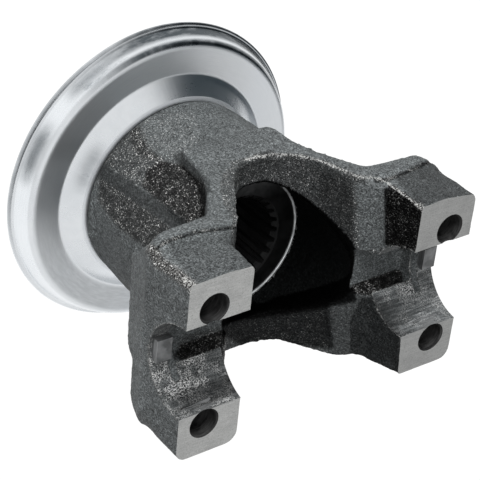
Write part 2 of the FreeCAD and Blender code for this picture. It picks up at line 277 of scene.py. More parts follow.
# Distance from machined surfaces, 0 on them to 1 well away.
soft = 1.0 - (pinned | v_pad)
for step in range(5):
    soft = spread(soft)
    soft[pinned | v_pad] = 0
soft = np.clip(soft * 1.6, 0, 1)
x, y, z = co[:, 0], co[:, 1], co[:, 2]
soft *= smoothstep(26.9, 29.5, z)

# The casting's marks, and the painted shade and highlights, are placed with a fixed pair of plane coordinates: the
# object seen along one slanting direction, 480 units across.
AXES = np.array([[0.81272544, 0.0837649, 0.57659413], [-0.25744298, -0.8361424, 0.48434388], [0.52268582, -0.54207871, -0.65798952]])
SHIFT = np.array([1.30652862, 1.22109135, 24.92863026])
UNIT = 17.4625
SPAN = 1712.29365
q = (co - [0, 0, PAD_Z]) / UNIT @ AXES.T + SHIFT
U, V = 240 + SPAN * q[:, 0] / q[:, 2], 240 + SPAN * q[:, 1] / q[:, 2]
eye = -(SHIFT @ AXES) * UNIT + [0, 0, PAD_Z]
look = eye - co
look /= np.linalg.norm(look, axis=1)[:, None]
seen = smoothstep(0.0, 0.12, (vn * look).sum(1))


def along(points):
    """Distance from a polyline in the plane coordinates, and the side it lies on."""
    best = np.full(NV, 1e9)
    side = np.zeros(NV)
    for (x0, y0), (x1, y1) in zip(points[:-1], points[1:]):
        dx, dy = x1 - x0, y1 - y0
        L = math.hypot(dx, dy)
        tt = np.clip(((U - x0) * dx + (V - y0) * dy) / L ** 2, 0, 1)
        dd = np.hypot(U - x0 - tt * dx, V - y0 - tt * dy)
        sd = ((U - x0) * dy - (V - y0) * dx) / L
        side = np.where(dd < best, sd, side)
        best = np.minimum(best, dd)
    return best, side


def band(points, half, fade=2.0):
    return 1 - smoothstep(half, half + fade, along(points)[0])


def patch(points, fade=5.0):
    """1 inside a polygon of plane coordinates, fading outside it."""
    inside = np.zeros(NV, bool)
    for (x0, y0), (x1, y1) in zip(points, points[1:] + points[:1]):
        cross = ((y0 > V) != (y1 > V)) & (U < (x1 - x0) * (V - y0) / (y1 - y0 + 1e-12) + x0)
        inside ^= cross
    dd = along(points + points[:1])[0]
    return np.where(inside, 1.0, 1 - smoothstep(0, fade, dd))


r_v = np.hypot(x, y)
on_hub = (z < 70) & (r_v > 24)
outer = (y > 8) & (z > 50)
inner = ((r_v < 21.6) & (z > 57.5)).astype(float)
tx = np.interp(PAD_Z - z, [0, 11.6, 17.2, 23.2, 28, 32, 35.5, 37.7], [25.9, 24.2, 19.8, 18.2, 15.9, 13.4, 10.2, 5.6])
trough = ((np.abs(x) < tx + 1.2) & (z > 60) & (np.abs(y) < 30.5)).astype(float)

notch = patch([(150, 172), (166, 164), (182, 168), (203, 186), (206, 214), (184, 226), (166, 206), (146, 186)]) * on_hub
lower = patch([(102, 178), (118, 186), (150, 214), (172, 232), (150, 248), (120, 226), (100, 200)]) * on_hub
upper = patch([(132, 128), (150, 118), (188, 114), (197, 140), (182, 154), (160, 160), (138, 150)], 8) * on_hub
rough = patch([(96, 160), (118, 132), (136, 130), (146, 152), (160, 162), (148, 184), (126, 180)], 8) * on_hub
strip = band([(99, 168), (128, 188), (150, 203), (178, 224)], 5.0, 4.0) * on_hub
chips = band([(150, 248), (158, 262), (176, 274), (194, 288)], 3.5, 5.0) * (x < -26) * (z > 70)
gran = np.clip(0.95 * notch + 0.8 * lower + 0.30 * upper + 0.62 * rough, 0, 1) * (1 - 0.9 * strip)
gran = np.clip(gran + chips + 0.55 * trough, 0, 1)
# Far sides of the barrel, not in the marked zones, are granular in patches.
plain = smoothstep(0.05, 0.6, layered(5, co, 22.0, 2) + 0.15) * (1 - seen)
gran = np.clip(gran + 0.7 * plain * (z > 28), 0, 1) * seen + np.clip(0.7 * plain + 0.5 * trough, 0, 1) * (1 - seen)

# --------------------------------------------------- yoke: cast roughness
swell = layered(11, co, 16.0, 2)
lumps = layered(23, co, 4.6, 2)
grain = layered(37, co, 1.5, 2, 0.75)
pits = -np.clip(layered(51, co, 2.6, 2) - 0.35, 0, 1)
ripple = layered(61, co * [1, 1, 2.2], 2.4, 2, 0.6)
disp = 0.07 * swell + 0.06 * lumps + (0.06 + 0.13 * gran) * grain + 0.22 * pits + 0.09 * upper * ripple
disp = disp * (1 - 0.75 * strip) + 0.16 * strip
p += vn * (disp * soft)[:, None]

# Grooves where the ears meet the bands that run up to them.
left_step = [(150, 251), (163, 243), (176, 238), (200, 231), (222, 229), (238, 226)]
right_step = [(376, 181), (388, 179), (405, 172), (425, 163), (438, 159)]
groove = np.zeros(NV)
for pts, side_of in ((left_step, x < -20), (right_step, x > 20)):
    dd, sd = along(pts)
    zone = side_of * (y > 13) * (z > 72) * (vn[:, 1] > 0.2)
    groove = np.maximum(groove, zone * (1 - smoothstep(0.9, 2.9, dd)))
jag = np.clip(0.85 + 0.5 * layered(141, co, 1.7, 2, 0.7), 0.2, 1.4)
p[:, 1] -= 0.34 * groove * jag * soft

# Ragged outline where the pads meet the cast sides.
rag = 0.07 * layered(91, co, 2.2, 3, 0.6)
out2 = vn.copy()
out2[:, 2] = 0
p[padedge] += out2[padedge] * rag[padedge, None]

# Flash along the upper edges of the trough.
edge = crease.copy()
for step in range(2):
    edge = np.maximum(edge * 0.999, spread(edge))
flash_zone = (y > 13) & (np.abs(x) < 27.5) & (z > 57) & (vn[:, 1] > 0.1)
flash = edge * flash_zone * soft
tooth = np.clip(0.35 + layered(131, co, 1.6, 2, 0.7), 0, 1.3)
p += vn * (0.34 * flash * tooth)[:, None]
# A torn lip on the barrel's parting line, beside the shield.
lip = band([(84, 214), (88, 228), (93, 240), (100, 258)], 1.2, 3.0) * on_hub * soft
p += vn * (0.55 * lip * np.clip(0.2 + layered(151, co, 3.0, 2), 0, 1))[:, None]
shelf = patch([(78, 196), (90, 200), (93, 236), (80, 236)], 4) * on_hub * soft * smoothstep(241, 236, V)
p += vn * (0.60 * shelf)[:, None]

work.vertices.foreach_set("co", (p / MM).astype(np.float32).ravel())
work.update()

# Finish of the surface, with painted shade and highlights, kept with the mesh.
dots = np.clip(layered(171, co, 1.3, 2, 0.7) * 1.6, 0, 1)
# Painted highlight along the trough's top edge.
edge_px = along([(245, 160), (256, 157), (275, 154), (300, 155), (322, 161), (340, 169), (356, 176), (375, 178), (383, 180), (398, 190), (421, 208)])[0]
bright_edge = (1 - smoothstep(0.3, 1.5, edge_px)) * (y > 12) * (z > 57) * (0.75 + 0.25 * dots)
spots = band([(418, 205), (424, 209)], 1.0, 3.0) * (x > 20) + band([(184, 279), (196, 289)], 1.2, 3.5) * (x < -26)
# Painted highlight along the saddles' rims.
rim = (v_saddle & v_cast).astype(float)
# Worn bright metal at the chips, spots and grooves, and the painted edge highlights.
wear_and_highlight = np.clip(0.9 * bright_edge + 0.20 * chips * (0.5 + 0.5 * dots) + 0.8 * spots * (0.5 + 0.5 * dots) + 0.35 * groove * dots + 0.55 * rim * (0.4 + 0.6 * dots), 0, 1) * v_cast
# Painted shade and light: shade scales the tone. It is darker in the pocket, trough, slots, bore and creases and on
# faces the light misses, and lighter on a few lit faces.
shade = np.ones(NV)
left, right = x < -15, x > 15
# Painted shade on the web under the trough.
web = patch([(218, 330), (250, 318), (300, 308), (326, 304), (330, 346), (300, 344), (250, 348)], 6) * trough
shade *= 1 - 0.80 * web
# Painted shade on the trough's upper walls.
shade *= 1 - 0.45 * patch([(240, 165), (300, 156), (350, 180), (352, 240), (300, 205), (240, 190)], 4) * (trough > 0)
shade *= 1 - 0.40 * patch([(322, 175), (352, 190), (352, 245), (322, 215)], 5) * (trough > 0)
# Painted shade on the faces right of the web, below the right ear.
shade *= 1 - 0.60 * patch([(352, 322), (362, 300), (372, 298), (398, 335), (398, 372), (352, 352)], 4) * (z > 60) * right
shade *= 1 - 0.10 * patch([(330, 312), (352, 312), (352, 352), (330, 345)], 4) * (z > 60)
# Painted shade: the pocket is nearly black.
shade *= 1 - 0.975 * inner
# Painted shadow on the right ear's inner face.
dark_face = patch([(385, 184), (393, 183), (421, 209), (419, 246), (414, 250), (386, 244)], 2.5) * right * (vn[:, 0] < -0.3) * (z > 78)
shade *= 1 - 0.85 * dark_face
# Painted shade on the pocket's far wall.
deep_wall = (trough > 0) * (seen > 0.2) * patch([(300, 196), (325, 222), (350, 250), (354, 300), (300, 310), (230, 320), (236, 300), (290, 260)], 5)
shade *= 1 - 0.94 * deep_wall
# Painted shade on the notch.
shade *= 1 - 0.25 * notch
# Painted light on the left ear's edge facet.
shade *= 1 + 0.30 * band([(134, 262), (134, 400)], 9, 4) * left * (z > 60)
# Painted shade in the bore and on the nut seat.
shade *= np.where(r_v < 19.4, 0.10, 1.0)
# Painted shade along the crease where the arm rises from the hub.
wall_dark = band([(180, 158), (190, 170), (203, 184), (207, 200), (205, 218)], 4.0, 5.0) * on_hub
shade *= 1 - 0.50 * wall_dark
# Painted shade in the grooves and on the strip.
shade *= 1 - 0.80 * groove
shade *= 1 - 0.60 * strip
# Painted shade on the notch and the lower barrel, painted light on the upper barrel.
shade *= (1 - 0.26 * notch) * (1 - 0.14 * lower) * (1 + 0.28 * upper)
# Painted shade on the ears' top faces.
shade *= 1 - 0.54 * patch([(398, 178), (440, 158), (472, 192), (424, 208)], 4) * right * (vn[:, 1] > 0.5)
shade *= 1 - 0.30 * patch([(170, 246), (238, 232), (250, 268), (196, 286)], 4) * left * (vn[:, 1] > 0.5)
# Painted shade on the slots' lower walls.
slot_l = patch([(184, 338), (246, 320), (250, 338), (242, 352), (190, 364), (178, 354)], 3) * left * (z > 74)
slot_r = patch([(352, 262), (372, 252), (398, 262), (404, 292), (352, 302)], 3) * right * (z > 74)
low_wall = np.maximum(slot_l, slot_r) * (vn[:, 1] > 0.3) * (1 - v_saddle)
shade *= 1 - 0.60 * low_wall
gran = np.clip(gran + low_wall + 0.5 * slot_l, 0, 1)
gran = np.clip(gran + 0.6 * dark_face, 0, 1)
# Painted shade on the faces below the right ear.
calm = patch([(326, 306), (352, 296), (372, 298), (400, 335), (400, 376), (330, 352)], 5) * (z > 60) * right
gran = gran * (1 - 0.7 * calm)
shade *= 1 - 0.48 * calm
# Painted shade on the strip at the right ear's inner face.
strip_r = patch([(357, 185), (384, 185), (384, 246), (362, 250)], 3) * right * (z > 70)
gran = gran * (1 - 0.92 * strip_r)
shade *= 1 - 0.14 * strip_r
# The left saddle is pitted all over, the right one only at its inner end.
sl = v_saddle * left * (0.55 + 0.45 * patch([(150, 350), (205, 345), (200, 385), (165, 392)], 12))
sr = v_saddle * right * (0.25 + 0.75 * patch([(395, 268), (412, 268), (418, 290), (400, 290)], 6))
gran = np.where(v_saddle, np.where(seen > 0.05, sl + sr, 0.5), gran)
# Painted shade towards the lower end of the left saddle; painted light on the right saddle and on the left saddle's
# upper part.
shade *= 1 - 0.70 * patch([(170, 398), (200, 388), (232, 378), (240, 388), (180, 414)], 8) * v_saddle * left
shade *= 1 + 0.24 * v_saddle * right
shade *= 1 + 0.15 * patch([(150, 358), (172, 362), (180, 385), (165, 398)], 5) * v_saddle * left


def put(name, values):
    a = work.attributes.new(name, "FLOAT", "POINT")
    a.data.foreach_set("value", values.astype(np.float32))


# Faces of the casting where the painted shade is darkest, deep in the pocket and the slots, get a copy of the cast iron
# with almost no specular, so the painted shade stays black.
face_shade = np.bincount(face_of_loop, shade[loops], NF) / ltotal
index = kind.copy()
index[(kind == CAST) & (face_shade < 0.32)] = 5
work.polygons.foreach_set("material_index", index.astype(np.int32))
put("wear_and_highlight", wear_and_highlight)
put("gran", gran)
put("shade", shade)

for name in ("cast_iron", "machined_pad", "bored_saddle", "bored_steel", "drilled_hole", "cast_iron_deep"):
    work.materials.append(bpy.data.materials.new(name + "_slot"))
yoke = bpy.data.objects.new("cast_yoke", work)
bpy.context.scene.collection.objects.link(yoke)
dec = yoke.modifiers.new("thin", "DECIMATE")
dec.ratio = 191000.0 / (2.0 * NF)
dg = bpy.context.evaluated_depsgraph_get()
thin = bpy.data.meshes.new_from_object(yoke.evaluated_get(dg))
yoke.modifiers.clear()
yoke.data = thin
print("yoke triangles", sum(len(f.vertices) - 2 for f in thin.polygons))


def set_sharp(me, machined_angle=28, cast_angle=75):
    bm = bmesh.new()
    bm.from_mesh(me)
    for f in bm.faces:
        f.smooth = f.material_index != PAD
    ca, cb = math.radians(machined_angle), math.radians(cast_angle)
    for e in bm.edges:
        if len(e.link_faces) != 2:
            continue
        a, b = e.link_faces
        ang = e.calc_face_angle(0)
        if a.material_index in (1, 2, 3, 4) or b.material_index in (1, 2, 3, 4):
            e.smooth = ang < ca
        else:
            e.smooth = ang < cb
    bm.to_mesh(me)
    bm.free()


def bored_out(hx, hy, tris):
    """True when the hole is open and the rest of the mesh is still there."""
    def test(me):
        v = get(me, me.vertices, "co", 3) * MM
        inside = (np.hypot(v[:, 0] - hx, v[:, 1] - hy) < HOLE_R - 0.15) & (v[:, 2] > 86)
        return not inside.any() and v[:, 2].max() < PAD_Z + 0.3 and len(me.polygons) > 0.97 * tris
    return test


for hx, hy in HOLES:
    combine(yoke, bore_tool(hx, hy), "DIFFERENCE", bored_out(hx, hy, len(yoke.data.polygons)))
thin = yoke.data
centre = get(thin, thin.polygons, "center", 3) * MM
facing = get(thin, thin.polygons, "normal", 3)
wall = np.hypot(np.abs(centre[:, 0]) - BOLT_X, np.abs(centre[:, 1]) - BOLT_Y) < RIM_R + 0.02
wall &= (np.abs(facing[:, 2]) < 0.9) & (centre[:, 2] > 76) & (centre[:, 2] < PAD_Z - 0.01)
off_x = centre[:, 0] - np.sign(centre[:, 0]) * BOLT_X
off_y = centre[:, 1] - np.sign(centre[:, 1]) * BOLT_Y
wall &= facing[:, 0] * off_x + facing[:, 1] * off_y < 0
index = get(thin, thin.polygons, "material_index", 1, np.int32)
index[wall] = 4
thin.polygons.foreach_set("material_index", index)
# New vertices at the holes take the plain finish: no painted shade, no wear or painted highlight.
pts = get(thin, thin.vertices, "co", 3) * MM
near = (np.hypot(np.abs(pts[:, 0]) - BOLT_X, np.abs(pts[:, 1]) - BOLT_Y) < RIM_R + 0.05) & (pts[:, 2] > 80)
for name, level in (("shade", 1.0), ("gran", 0.3), ("wear_and_highlight", 0.0)):
    values = get(thin, thin.attributes[name].data, "value", 1)
    values[near] = level
    thin.attributes[name].data.foreach_set("value", values)
print("yoke triangles", sum(len(f.vertices) - 2 for f in thin.polygons))
set_sharp(thin)

# ------------------------------------------------------------ dust shield
SHEET = 1.2
MID = [(46.0, 15.65), (45.0, 15.5), (42.6, 21.9), (33.6, 20.9), (27.1, 26.7), (27.1, 17.6)]
MID_R = [0, 1.5, 1.7, 1.6, 0.75, 0]


def fillet_path(pts, radii, step_arc=0.12, step_line=0.36):
    """Points and unit normals (left of travel) along a path with rounded corners."""
    out = []

    def line(a, b):
        n = max(1, int(np.hypot(*(b - a)) / step_line))
        t = (b - a) / np.hypot(*(b - a))
        for i in range(n):
            out.append((a + (b - a) * i / n, np.array([-t[1], t[0]])))

    pts = [np.array(q, float) for q in pts]
    cur = pts[0]
    for i in range(1, len(pts) - 1):
        a, b, c = pts[i - 1], pts[i], pts[i + 1]
        u = (b - a) / np.hypot(*(b - a))
        w = (c - b) / np.hypot(*(c - b))
        turn = math.atan2(u[0] * w[1] - u[1] * w[0], u @ w)
        tl = radii[i] * math.tan(abs(turn) / 2)
        s, e = b - u * tl, b + w * tl
        line(cur, s)
        side = 1 if turn > 0 else -1
        cen = s + side * radii[i] * np.array([-u[1], u[0]])
        n = max(3, int(abs(turn) * radii[i] / step_arc))
        a0 = math.atan2(*(s - cen)[::-1])
        for k in range(n):
            q = a0 + turn * k / n
            d = np.array([math.cos(q), math.sin(q)])
            out.append((cen + radii[i] * d, -side * d))
        cur = e
    line(cur, pts[-1])
    t = (pts[-1] - cur) / np.hypot(*(pts[-1] - cur))
    out.append((pts[-1], np.array([-t[1], t[0]])))
    return out


path = fillet_path(MID, MID_R)
prof = []
for q, n in path:
    prof.append(q + n * SHEET / 2)
for q, n in reversed(path):
    prof.append(q - n * SHEET / 2)
# Rolled edge of the rim: half round.
q0, n0 = path[0]
for k in range(1, 8):
    a = math.pi * k / 8
    t0 = np.array([n0[1], -n0[0]])
    t0 = t0 if t0[0] > 0 else -t0
    prof.append(q0 - n0 * SHEET / 2 * math.cos(a) + t0 * SHEET / 2 * math.sin(a))
prof = np.array(prof)
SEG = 360
ang = np.arange(SEG) / SEG * 2 * math.pi
NP = len(prof)
vs = np.zeros((SEG, NP, 3))
rr, zz = prof[:, 0], prof[:, 1]
# A stamping is never quite true: a slow wave, under a tenth of a millimetre.
wave_z = 0.09 * np.cos(2 * ang + 0.6) + 0.05 * np.cos(5 * ang + 1.9) + 0.03 * np.cos(9 * ang)
lift = smoothstep(29.0, 44.0, rr)
for j in range(SEG):
    vs[j, :, 0] = rr * math.cos(ang[j])
    vs[j, :, 1] = rr * math.sin(ang[j])
    vs[j, :, 2] = zz + lift * wave_z[j]
vs = vs.reshape(-1, 3)
idx = np.arange(SEG * NP).reshape(SEG, NP)
nxt = np.roll(idx, -1, 0)
quads = np.stack([idx, nxt, np.roll(nxt, -1, 1), np.roll(idx, -1, 1)], -1).reshape(-1, 4)
sm = bpy.data.meshes.new("zinc_shield")
sm.from_pydata((vs / MM).tolist(), [], quads.tolist())
sm.update()
bm = bmesh.new()
bm.from_mesh(sm)
bmesh.ops.recalc_face_normals(bm, faces=bm.faces)
for f in bm.faces:
    f.smooth = True
bm.to_mesh(sm)
bm.free()
# Patches of painted dark reflection on the plating, partly stains: angle range in degrees and radius range.
vphi = np.degrees(np.arctan2(vs[:, 1], vs[:, 0]))
vr = np.hypot(vs[:, 0], vs[:, 1])
stain_and_painted_reflection = np.zeros(len(vs))
for mid_a, half_a, r_in, r_out, fade, level in (
        (121, 32, 43.2, 45.3, 0.9, 0.66), (154, 20, 43.4, 45.6, 0.9, 0.68), (152, 30, 28.6, 31.4, 2.6, 0.74),
        (-20, 14, 43.0, 46.0, 0.8, 0.5), (-130, 10, 43.0, 46.0, 0.8, 0.4)):
    off = np.abs((vphi - mid_a + 180) % 360 - 180)
    stain_and_painted_reflection = np.maximum(stain_and_painted_reflection, level * (1 - smoothstep(0.10 * half_a, half_a, off)) * smoothstep(r_in - fade, r_in + fade, vr) * (1 - smoothstep(r_out - fade, r_out + fade, vr)))
sa = sm.attributes.new("stain_and_painted_reflection", "FLOAT", "POINT")
sa.data.foreach_set("value", stain_and_painted_reflection.astype(np.float32))
# Painted dark reflections in rings on the wall and rim, widest on one side, and in patches on the flat ring and the
# cone.
painted_darkening = np.zeros(len(vs))
for mid_a, half_a, r_in, r_out, fade, level in ((74, 66, 42.65, 43.75, 0.25, 1.0), (72, 66, 44.2, 45.65, 0.35, 1.0), (62, 80, 45.95, 46.7, 0.2, 0.9), (150, 60, 45.9, 46.7, 0.25, 0.5), (-122, 75, 34.4, 41.8, 0.8, 0.34),
                                            (155, 15, 43.7, 45.1, 0.9, 0.85), (122, 14, 44.0, 45.3, 0.7, 0.58), (153, 18, 29.2, 31.2, 2.2, 0.62)):
    off = np.abs((vphi - mid_a + 180) % 360 - 180)
    painted_darkening = np.maximum(painted_darkening, level * (1 - smoothstep(0.30 * half_a, half_a, off)) * smoothstep(r_in - fade, r_in + fade, vr) * (1 - smoothstep(r_out - fade, r_out + fade, vr)))
sb = sm.attributes.new("painted_darkening", "FLOAT", "POINT")
sb.data.foreach_set("value", painted_darkening.astype(np.float32))
shield = bpy.data.objects.new("zinc_shield", sm)
print("shield triangles", 2 * len(quads))
bpy.context.scene.collection.objects.link(shield)


# -------------------------------------------------------------- materials
class Mat:
    def __init__(self, name):
        self.m = bpy.data.materials.new(name)
        self.m.use_nodes = True
        self.t = self.m.node_tree
        self.t.nodes.clear()
        self.out = self.t.nodes.new("ShaderNodeOutputMaterial")
        self.b = self.t.nodes.new("ShaderNodeBsdfPrincipled")
        self.t.links.new(self.b.outputs[0], self.out.inputs[0])
        self.tc = self.t.nodes.new("ShaderNodeTexCoord").outputs["Object"]

    def link(self, a, b):
        self.t.links.new(a, b)

    def mapping(self, scale=(1, 1, 1), rot=(0, 0, 0), src=None):
        n = self.t.nodes.new("ShaderNodeMapping")
        n.inputs["Scale"].default_value = scale
        n.inputs["Rotation"].default_value = rot
        self.link(src or self.tc, n.inputs["Vector"])
        return n.outputs[0]

    def noise(self, scale, detail=2.0, rough=0.5, vec=None, distort=0.0):
        n = self.t.nodes.new("ShaderNodeTexNoise")
        n.inputs["Scale"].default_value = scale
        n.inputs["Detail"].default_value = detail
        n.inputs["Roughness"].default_value = rough
        n.inputs["Distortion"].default_value = distort
        self.link(vec or self.tc, n.inputs["Vector"])
        return n.outputs["Fac"]

    def voronoi(self, scale, vec=None, out="Distance"):
        n = self.t.nodes.new("ShaderNodeTexVoronoi")
        n.inputs["Scale"].default_value = scale
        self.link(vec or self.tc, n.inputs["Vector"])
        return n.outputs[out]

    def attr(self, name):
        n = self.t.nodes.new("ShaderNodeAttribute")
        n.attribute_name = name
        return n.outputs["Fac"]

    def math(self, op, a, b=0.0, clamp=False):
        n = self.t.nodes.new("ShaderNodeMath")
        n.operation = op
        n.use_clamp = clamp
        for i, v in enumerate((a, b)):
            if isinstance(v, (int, float)):
                n.inputs[i].default_value = v
            else:
                self.link(v, n.inputs[i])
        return n.outputs[0]

    def ramp(self, src, stops, smooth=False):
        n = self.t.nodes.new("ShaderNodeValToRGB")
        e = n.color_ramp.elements
        while len(e) > 2:
            e.remove(e[-1])
        for i, (pos, c) in enumerate(stops):
            el = e[i] if i < 2 else e.new(pos)
            el.position = pos
            el.color = (c, c, c, 1) if isinstance(c, (int, float)) else (*c, 1)
        if smooth:
            n.color_ramp.interpolation = "EASE"
        self.link(src, n.inputs[0])
        return n.outputs[0]

    def mix(self, fac, a, b, kind="MIX"):
        n = self.t.nodes.new("ShaderNodeMix")
        n.data_type = "RGBA"
        n.blend_type = kind
        n.clamp_factor = True
        for k, v in ((0, fac), (6, a), (7, b)):
            if isinstance(v, (int, float)):
                n.inputs[k].default_value = v if k == 0 else (v, v, v, 1)
            elif isinstance(v, tuple):
                n.inputs[k].default_value = (*v, 1)
            else:
                self.link(v, n.inputs[k])
        return n.outputs[2]

    def bump(self, height, distance, strength=1.0, normal=None):
        n = self.t.nodes.new("ShaderNodeBump")
        n.inputs["Distance"].default_value = distance
        n.inputs["Strength"].default_value = strength
        self.link(height, n.inputs["Height"])
        if normal is not None:
            self.link(normal, n.inputs["Normal"])
        return n.outputs[0]

    def set(self, **kw):
        for k, v in kw.items():
            sock = self.b.inputs[k.replace("_", " ")]
            if isinstance(v, (int, float, tuple)):
                sock.default_value = v
            else:
                self.link(v, sock)


def cast_iron(name="cast_iron", gloss=0.12):
    m = Mat(name)
    gran, shade, wear_and_highlight = m.attr("gran"), m.attr("shade"), m.attr("wear_and_highlight")
    big = m.noise(75, 3, 0.6)
    mid = m.noise(620, 3, 0.6)
    fine = m.noise(2300, 2, 0.6)
    grit = m.noise(3900, 1, 0.5)
    cluster = m.noise(420, 2, 0.6)
    # Height of the cast skin's grain; the tone follows it, with painted shade in the hollows and painted highlights on
    # the points.
    h = m.math("ADD", m.math("MULTIPLY", fine, 0.70), m.math("MULTIPLY", grit, 0.30))
    skin = m.ramp(h, [(0.38, (0.0155, 0.0170, 0.0175)), (0.47, (0.038, 0.0414, 0.0422)), (0.54, (0.054, 0.0587, 0.060)), (0.66, (0.105, 0.113, 0.115))])
    fleck = m.noise(3300, 1, 0.5)
    hc = m.math("ADD", m.math("ADD", m.math("MULTIPLY", h, 0.35), m.math("MULTIPLY", fleck, 0.65)), m.math("MULTIPLY", m.math("SUBTRACT", cluster, 0.5), 0.22))
    # Granular tone: its brightest points are painted glints.
    coarse = m.ramp(hc, [(0.42, (0.0010, 0.0010, 0.0010)), (0.50, (0.0085, 0.0085, 0.0082)), (0.56, (0.028, 0.0285, 0.028)), (0.605, (0.088, 0.088, 0.087)), (0.675, (0.46, 0.46, 0.45))])
    tone = m.mix(gran, skin, coarse)
    tone = m.mix(1.0, tone, m.ramp(big, [(0.30, 0.78), (0.70, 1.0)]), "MULTIPLY")
    # Mid-sized wrinkles darken and lighten the tone where they also bump the surface: painted relief shading.
    hide = m.noise(820, 3, 0.65, None, 1.4)
    tone = m.mix(1.0, tone, m.ramp(hide, [(0.34, 0.55), (0.46, 0.95), (0.54, 1.05), (0.66, 1.5)]), "MULTIPLY")
    shaded = m.t.nodes.new("ShaderNodeVectorMath")
    shaded.operation = "SCALE"
    m.link(tone, shaded.inputs[0])
    m.link(shade, shaded.inputs["Scale"])
    # Bare bright metal where worn, and painted highlights on the edges.
    bare_and_highlight = m.math("MULTIPLY", wear_and_highlight, m.ramp(h, [(0.46, 0.0), (0.55, 1.0)]))
    tone = m.mix(bare_and_highlight, shaded.outputs[0], (0.34, 0.34, 0.33))
    ro = m.ramp(mid, [(0.3, 0.50), (0.7, 0.64)])
    n1 = m.bump(mid, 0.00040, 0.7)
    n2 = m.bump(m.math("ADD", m.math("MULTIPLY", hide, 0.8), m.math("MULTIPLY", h, 0.5)), 0.00060, 0.9, n1)
    m.set(Base_Color=tone, Roughness=ro, Metallic=m.math("MULTIPLY", bare_and_highlight, 0.6), Specular_IOR_Level=gloss, Normal=n2)
    return m.m


def pad_metal():
    m = Mat("machined_pad")
    lines = m.noise(1.0, 3, 0.6, m.mapping((150, 3600, 150), (0, 0, math.radians(32))))
    cloud = m.noise(190, 3, 0.6)
    grit = m.noise(2300, 3, 0.7)
    tone = m.ramp(cloud, [(0.3, (0.215, 0.218, 0.215)), (0.7, (0.285, 0.288, 0.283))])
    tone = m.mix(m.ramp(lines, [(0.46, 0.0), (0.66, 0.5)]), tone, (0.34, 0.343, 0.336))
    tone = m.mix(m.ramp(grit, [(0.54, 0.0), (0.70, 0.75)]), tone, (0.13, 0.13, 0.128))
    tone = m.mix(m.ramp(grit, [(0.28, 0.6), (0.42, 0.0)]), tone, (0.42, 0.42, 0.41))
    # Painted shade: the pads on the +X ear are a little darker.
    sep = m.t.nodes.new("ShaderNodeSeparateXYZ")
    m.link(m.tc, sep.inputs[0])
    painted_darkening = m.math("MULTIPLY", m.math("GREATER_THAN", sep.outputs[0], 0.0), 0.22)
    tone = m.mix(painted_darkening, tone, (0.03, 0.031, 0.031))
    n1 = m.bump(lines, 0.00002, 0.6)
    n2 = m.bump(grit, 0.00005, 0.8, n1)
    m.set(Base_Color=tone, Roughness=m.ramp(cloud, [(0.3, 0.44), (0.7, 0.54)]), Metallic=0.6, Normal=n2)
    return m.m


def saddle_metal():
    m = Mat("bored_saddle")
    gran, shade = m.attr("gran"), m.attr("shade")
    streak = m.noise(1.0, 3, 0.6, m.mapping((160, 1700, 1700)))
    patches = m.noise(230, 3, 0.65)
    mott = m.noise(3000, 2, 0.6)
    tone = m.ramp(streak, [(0.36, (0.032, 0.0345, 0.0355)), (0.50, (0.056, 0.060, 0.061)), (0.66, (0.108, 0.113, 0.115))])
    bright = m.math("MULTIPLY", m.ramp(mott, [(0.46, 0.0), (0.60, 1.0)]), m.ramp(patches, [(0.42, 0.08), (0.57, 1.0)]))
    bright = m.math("MULTIPLY", bright, gran)
    tone = m.mix(bright, tone, (0.44, 0.44, 0.435))
    pit = m.math("MULTIPLY", m.ramp(mott, [(0.40, 1.0), (0.48, 0.0)]), m.math("ADD", m.math("MULTIPLY", gran, 0.75), 0.2))
    tone = m.mix(pit, tone, (0.008, 0.008, 0.008))
    shaded = m.t.nodes.new("ShaderNodeVectorMath")
    shaded.operation = "SCALE"
    m.link(tone, shaded.inputs[0])
    m.link(shade, shaded.inputs["Scale"])
    n1 = m.bump(streak, 0.00006, 0.7)
    n2 = m.bump(mott, 0.00014, 0.8, n1)
    m.set(Base_Color=shaded.outputs[0], Roughness=m.ramp(mott, [(0.3, 0.46), (0.7, 0.36)]), Metallic=0.5, Specular_IOR_Level=0.25, Normal=n2)
    return m.m


